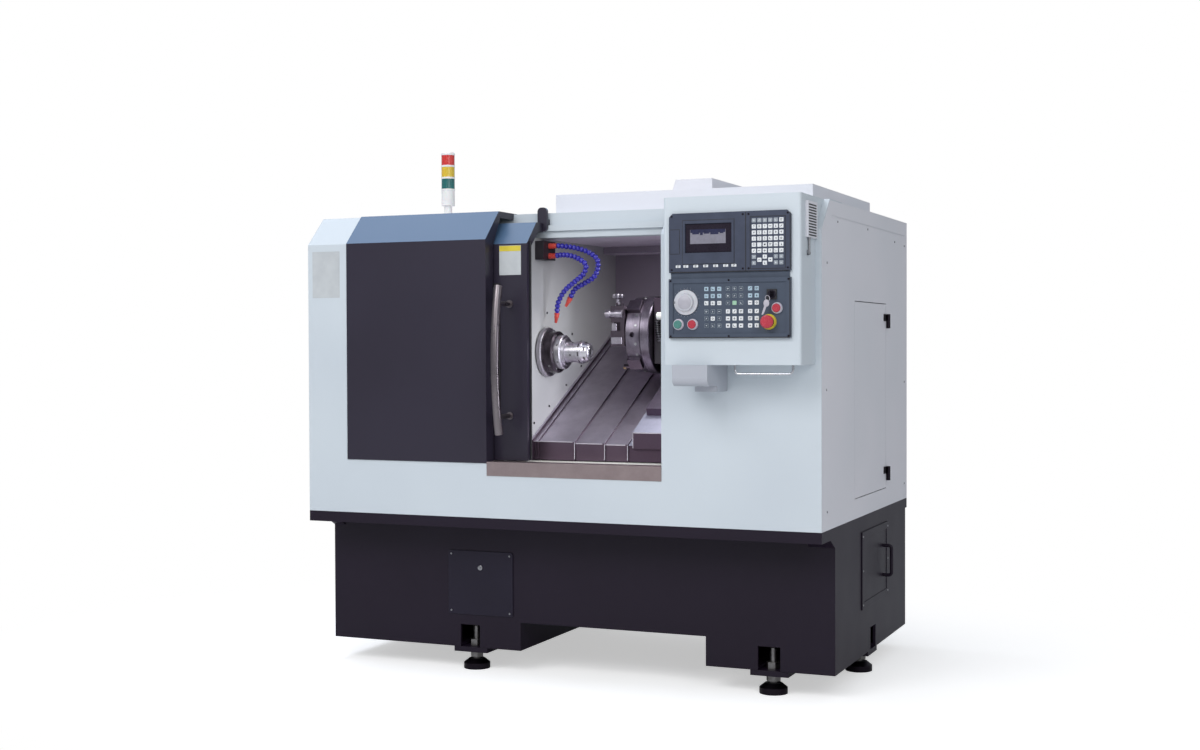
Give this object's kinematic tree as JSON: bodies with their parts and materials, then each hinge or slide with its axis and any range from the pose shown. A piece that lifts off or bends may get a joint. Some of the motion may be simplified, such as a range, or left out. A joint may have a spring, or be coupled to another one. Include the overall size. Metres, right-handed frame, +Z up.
{
  "type": "cnc turning lathe",
  "caption": "Slant-bed CNC turning lathe with sliding door, collet chuck spindle, tool turret and swing-out side door.",
  "frame": {"origin": "middle of the machine's outline at floor level, under the levelling pads", "axes": "+X to the right along the front (spindle axis), +Y to the back, +Z up"},
  "size_m": [1.888, 1.4, 1.835],
  "materials": {
    "enclosure_paint": "satin pale grey paint",
    "dark_paint": "satin dark slate paint",
    "base_paint": "satin near-black paint",
    "panel_slate": "fine-textured slate panel",
    "keys": "flat membrane keys",
    "screen_glass": "dark glossy display",
    "window_pane": "clear laminated pane",
    "chrome_tube": "polished",
    "stainless": "brushed stainless sheet",
    "cabin_sheet": "dull steel sheet",
    "cover_steel": "ground and oiled steel",
    "ground_steel": "turned and ground steel",
    "black_steel": "blackened steel",
    "casting": "painted casting",
    "zinc": "oiled steel",
    "hose_blue": "moulded blue plastic",
    "hose_orange": "moulded orange plastic",
    "white_plastic": "moulded white plastic",
    "lamp_green": "clear green lens",
    "lamp_amber": "clear amber lens",
    "lamp_red": "clear red lens",
    "button_green": "moulded green plastic",
    "button_red": "moulded red plastic",
    "dial_white": "moulded pale plastic",
    "vent_paint": "satin pale grey paint"
  },
  "bodies": {
    "machine": {"base_frame": "base_paint", "base_front_cover": "base_paint", "base_side_cover": "base_paint", "base_side_handle": "base_paint", "leveling_pads": "black_steel", "leveling_bolts": "zinc", "front_panel": "enclosure_paint", "left_side_panel": "enclosure_paint", "right_side_panel": "enclosure_paint", "back_panel": "enclosure_paint", "roof_panel": "enclosure_paint", "lintel": "enclosure_paint", "fixed_door_cover": "dark_paint", "sill_guard": "stainless", "roof_box": "enclosure_paint", "motor_hood": "enclosure_paint", "tower_body": "white_plastic", "lamp_green": "lamp_green", "lamp_amber": "lamp_amber", "lamp_red": "lamp_red", "control_housing": "enclosure_paint", "display_unit": "panel_slate", "display_screen": "screen_glass", "keypad_unit": "panel_slate", "operator_panel": "panel_slate", "membrane_keys": "keys", "service_box": "vent_paint", "grab_rail": "chrome_tube", "louvre_cover": "vent_paint", "side_hinge_fixed": "black_steel", "headstock_wall": "cabin_sheet", "cabin_liner": "cabin_sheet", "drip_tray": "enclosure_paint", "way_cover_fixed": "cover_steel", "slant_bed": "casting", "coolant_manifold": "black_steel", "coolant_hoses": "hose_blue", "hose_nozzles": "hose_orange"},
    "sliding_door": {"sliding_door": "dark_paint", "door_window": "window_pane", "door_handle": "chrome_tube", "door_hangers": "dark_paint"},
    "side_door": {"side_access_door": "enclosure_paint", "side_hinge_moving": "black_steel"},
    "spindle": {"spindle": "black_steel", "chuck_body": "ground_steel", "collet_nose": "ground_steel", "collet": "ground_steel"},
    "saddle": {"saddle": "cover_steel"},
    "cover_second": {"way_cover_second": "cover_steel"},
    "cover_third": {"way_cover_third": "cover_steel"},
    "cross_slide": {"cross_slide": "casting"},
    "turret": {"turret_disc": "black_steel", "tool_holders": "ground_steel"},
    "dial": {"override_dial": "dial_white"},
    "green_button": {"green_button": "button_green"},
    "red_button": {"red_button": "button_red"},
    "off_button": {"off_button": "button_red"},
    "emergency_stop": {"emergency_stop": "button_red"},
    "key": {"key_switch": "ground_steel"}
  },
  "joints": [
    {"name": "door_slide", "type": "slide", "parent": "machine", "child": "sliding_door", "axis": [1, 0, 0], "range_m": [0, 0.5]},
    {"name": "side_door_hinge", "type": "hinge", "parent": "machine", "child": "side_door", "pos_m": [0.914, 0.362, 0.94], "axis": [0, 0, 1], "range_deg": [0, 120]},
    {"name": "spindle_turn", "type": "hinge", "parent": "machine", "child": "spindle", "pos_m": [-0.141, -0.255, 1.106], "axis": [1, 0, 0], "continuous": true},
    {"name": "z_travel", "type": "slide", "parent": "machine", "child": "saddle", "axis": [1, 0, 0], "range_m": [-0.05, 0.25]},
    {"name": "cover_second_slide", "type": "slide", "parent": "machine", "child": "cover_second", "axis": [1, 0, 0], "range_m": [-0.017, 0.084]},
    {"name": "cover_third_slide", "type": "slide", "parent": "machine", "child": "cover_third", "axis": [1, 0, 0], "range_m": [-0.034, 0.167]},
    {"name": "x_travel", "type": "slide", "parent": "saddle", "child": "cross_slide", "axis": [0, -0.891, -0.454], "range_m": [-0.04, 0.15]},
    {"name": "turret_index", "type": "hinge", "parent": "cross_slide", "child": "turret", "pos_m": [0.112, -0.025, 1.165], "axis": [1, 0, 0], "continuous": true},
    {"name": "dial_turn", "type": "hinge", "parent": "machine", "child": "dial", "pos_m": [0.527, -0.67, 1.259], "axis": [0, 1, 0], "continuous": true},
    {"name": "green_button_press", "type": "slide", "parent": "machine", "child": "green_button", "axis": [0, 1, 0], "range_m": [0, 0.004], "stiffness_N_per_m": 400},
    {"name": "red_button_press", "type": "slide", "parent": "machine", "child": "red_button", "axis": [0, 1, 0], "range_m": [0, 0.004], "stiffness_N_per_m": 400},
    {"name": "off_button_press", "type": "slide", "parent": "machine", "child": "off_button", "axis": [0, 1, 0], "range_m": [0, 0.004], "stiffness_N_per_m": 400},
    {"name": "emergency_stop_press", "type": "slide", "parent": "machine", "child": "emergency_stop", "axis": [0, 1, 0], "range_m": [0, 0.005], "stiffness_N_per_m": 800},
    {"name": "key_turn", "type": "hinge", "parent": "machine", "child": "key", "pos_m": [0.799, -0.67, 1.28], "axis": [0, 1, 0], "range_deg": [0, 90]}
  ],
  "couplings": [
    {"joint": "cover_second_slide", "follows": "z_travel", "ratio": 0.33333},
    {"joint": "cover_third_slide", "follows": "z_travel", "ratio": 0.66667}
  ]
}
